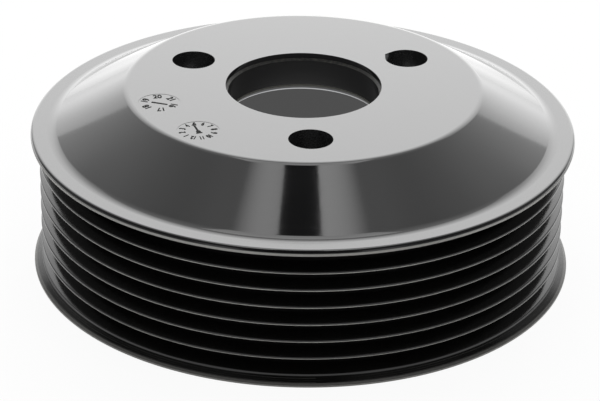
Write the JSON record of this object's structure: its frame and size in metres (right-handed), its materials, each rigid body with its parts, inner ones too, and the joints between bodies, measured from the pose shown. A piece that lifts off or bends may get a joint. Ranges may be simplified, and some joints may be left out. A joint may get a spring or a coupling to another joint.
{
  "type": "power steering pump pulley",
  "caption": "Cup-shaped ribbed belt pulley with flanges, a conical web, a flat hub disc, a centring bore and screw holes.",
  "frame": {"origin": "on the pulley's axis, in the plane of the open rim that it rests on", "axes": "+Z along the axis of rotation, from the open rim to the hub face; one screw hole lies towards -Y"},
  "size_m": [0.107, 0.107, 0.0369],
  "materials": {
    "black_phenolic": "polished black phenolic moulding"
  },
  "bodies": {
    "root": {"pulley": "black_phenolic"}
  },
  "joints": []
}
